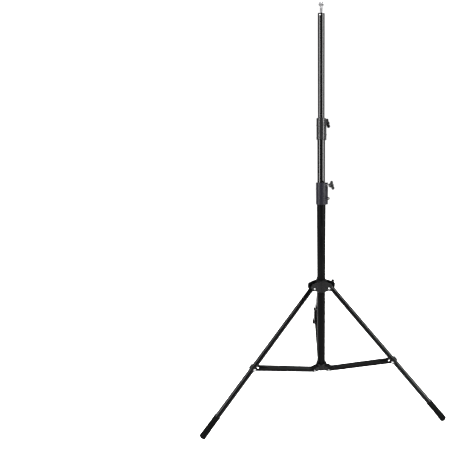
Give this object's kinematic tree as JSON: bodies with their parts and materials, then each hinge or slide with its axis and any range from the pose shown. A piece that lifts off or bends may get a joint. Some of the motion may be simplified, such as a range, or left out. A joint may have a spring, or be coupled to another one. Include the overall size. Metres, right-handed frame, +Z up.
{
  "type": "light stand",
  "caption": "Light stand: telescoping column on a folding tripod with braces and a sliding yoke, clamped by wing knobs and topped by a standard spigot and threaded stud.",
  "frame": {"origin": "on the floor under the column's axis, level with the soles of the three feet", "axes": "+Z up the column's axis towards the spigot; one leg points along +Y and the other two are 120 degrees either side of it"},
  "size_m": [0.5556, 0.4833, 0.9416],
  "materials": {
    "satin_tube": "satin black anodised tube",
    "gloss_tube": "gloss black anodised tube",
    "leg_tube": "black anodised tube",
    "lower_moulding": "moulded dark grey plastic",
    "upper_moulding": "moulded dark grey plastic",
    "moulded_black": "moulded black plastic",
    "plug_black": "moulded black plastic",
    "nylon": "black nylon",
    "grip_black": "textured black plastic",
    "brace_paint": "satin black paint",
    "saddle_black": "moulded black plastic",
    "foot_rubber": "black rubber",
    "bright_rivet": "bright rivet",
    "zinc_thread": "zinc-plated thread",
    "black_screw": "blackened steel",
    "chrome_stud": "chrome-plated",
    "brass_pad": "brass"
  },
  "bodies": {
    "base": {"base_tube": "satin_tube", "base_end_plug": "plug_black", "spreader_hub": "moulded_black", "hub_pins": "bright_rivet", "lower_collar": "lower_moulding", "lower_collar_bush": "nylon", "lower_collar_bolt": "black_screw", "lower_pad": "brass_pad"},
    "lower_knob": {"lower_knob_grip": "grip_black", "lower_knob_stud": "zinc_thread"},
    "mid_section": {"mid_tube": "gloss_tube", "mid_guide": "nylon", "upper_collar": "upper_moulding", "upper_collar_bush": "nylon", "upper_collar_bolt": "black_screw", "upper_pad": "brass_pad"},
    "upper_knob": {"upper_knob_grip": "grip_black", "upper_knob_stud": "zinc_thread"},
    "top_section": {"top_tube": "gloss_tube", "top_guide": "nylon", "spigot_plug": "zinc_thread", "spigot_stud": "chrome_stud", "spigot_rivet": "bright_rivet"},
    "thumb_nut": {"stud_nut": "chrome_stud"},
    "yoke": {"leg_yoke": "moulded_black", "yoke_rivets": "bright_rivet", "yoke_pad": "brass_pad"},
    "yoke_knob": {"yoke_knob_grip": "grip_black", "yoke_knob_stud": "zinc_thread"},
    "brace_1": {"brace_1": "brace_paint", "brace_rivet_1": "bright_rivet"},
    "leg_1": {"leg_tube_1": "leg_tube", "leg_cap_1": "plug_black", "leg_pin_1": "bright_rivet", "leg_saddle_1": "saddle_black", "foot_1": "foot_rubber"},
    "brace_2": {"brace_2": "brace_paint", "brace_rivet_2": "bright_rivet"},
    "leg_2": {"leg_tube_2": "leg_tube", "leg_cap_2": "plug_black", "leg_pin_2": "bright_rivet", "leg_saddle_2": "saddle_black", "foot_2": "foot_rubber"},
    "brace_3": {"brace_3": "brace_paint", "brace_rivet_3": "bright_rivet"},
    "leg_3": {"leg_tube_3": "leg_tube", "leg_cap_3": "plug_black", "leg_pin_3": "bright_rivet", "leg_saddle_3": "saddle_black", "foot_3": "foot_rubber"}
  },
  "joints": [
    {"name": "yoke_slide", "type": "slide", "parent": "base", "child": "yoke", "axis": [0, 0, 1], "range_m": [0, 0.17853]},
    {"name": "brace_1_hinge", "type": "hinge", "parent": "base", "child": "brace_1", "pos_m": [0, 0.0275, 0.046], "axis": [1, 0, 0], "range_deg": [0, 62.61]},
    {"name": "leg_1_hinge", "type": "hinge", "parent": "brace_1", "child": "leg_1", "pos_m": [0, 0.19378, 0.11999], "axis": [1, 0, 0], "range_deg": [-106.21, 0]},
    {"name": "brace_2_hinge", "type": "hinge", "parent": "base", "child": "brace_2", "pos_m": [-0.02382, -0.01375, 0.046], "axis": [-0.5, 0.866, 0], "range_deg": [0, 62.61]},
    {"name": "leg_2_hinge", "type": "hinge", "parent": "brace_2", "child": "leg_2", "pos_m": [-0.16782, -0.09689, 0.11999], "axis": [-0.5, 0.866, 0], "range_deg": [-106.21, 0]},
    {"name": "brace_3_hinge", "type": "hinge", "parent": "base", "child": "brace_3", "pos_m": [0.02382, -0.01375, 0.046], "axis": [-0.5, -0.866, 0], "range_deg": [0, 62.61]},
    {"name": "leg_3_hinge", "type": "hinge", "parent": "brace_3", "child": "leg_3", "pos_m": [0.16782, -0.09689, 0.11999], "axis": [-0.5, -0.866, 0], "range_deg": [-106.21, 0]},
    {"name": "mid_slide", "type": "slide", "parent": "base", "child": "mid_section", "axis": [0, 0, 1], "range_m": [-0.099, 0.285]},
    {"name": "top_slide", "type": "slide", "parent": "mid_section", "child": "top_section", "axis": [0, 0, 1], "range_m": [-0.175, 0.24]},
    {"name": "lower_knob_turn", "type": "hinge", "parent": "base", "child": "lower_knob", "pos_m": [0.01638, -0.01147, 0.5395], "axis": [0.8192, -0.5736, 0], "continuous": true},
    {"name": "upper_knob_turn", "type": "hinge", "parent": "mid_section", "child": "upper_knob", "pos_m": [0.01414, 0.01414, 0.6885], "axis": [0.7071, 0.7071, 0], "continuous": true},
    {"name": "yoke_knob_turn", "type": "hinge", "parent": "yoke", "child": "yoke_knob", "pos_m": [0.01732, 0.01, 0.278], "axis": [0.866, 0.5, 0], "continuous": true},
    {"name": "thumb_nut_turn", "type": "hinge", "parent": "top_section", "child": "thumb_nut", "pos_m": [0, 0, 0.9395], "axis": [0, 0, 1], "continuous": true}
  ],
  "couplings": [
    {"joint": "brace_1_hinge", "follows": "yoke_slide", "rad_per_m": 6.1199},
    {"joint": "leg_1_hinge", "follows": "yoke_slide", "rad_per_m": -10.382},
    {"joint": "brace_2_hinge", "follows": "yoke_slide", "rad_per_m": 6.1199},
    {"joint": "leg_2_hinge", "follows": "yoke_slide", "rad_per_m": -10.382},
    {"joint": "brace_3_hinge", "follows": "yoke_slide", "rad_per_m": 6.1199},
    {"joint": "leg_3_hinge", "follows": "yoke_slide", "rad_per_m": -10.382}
  ]
}
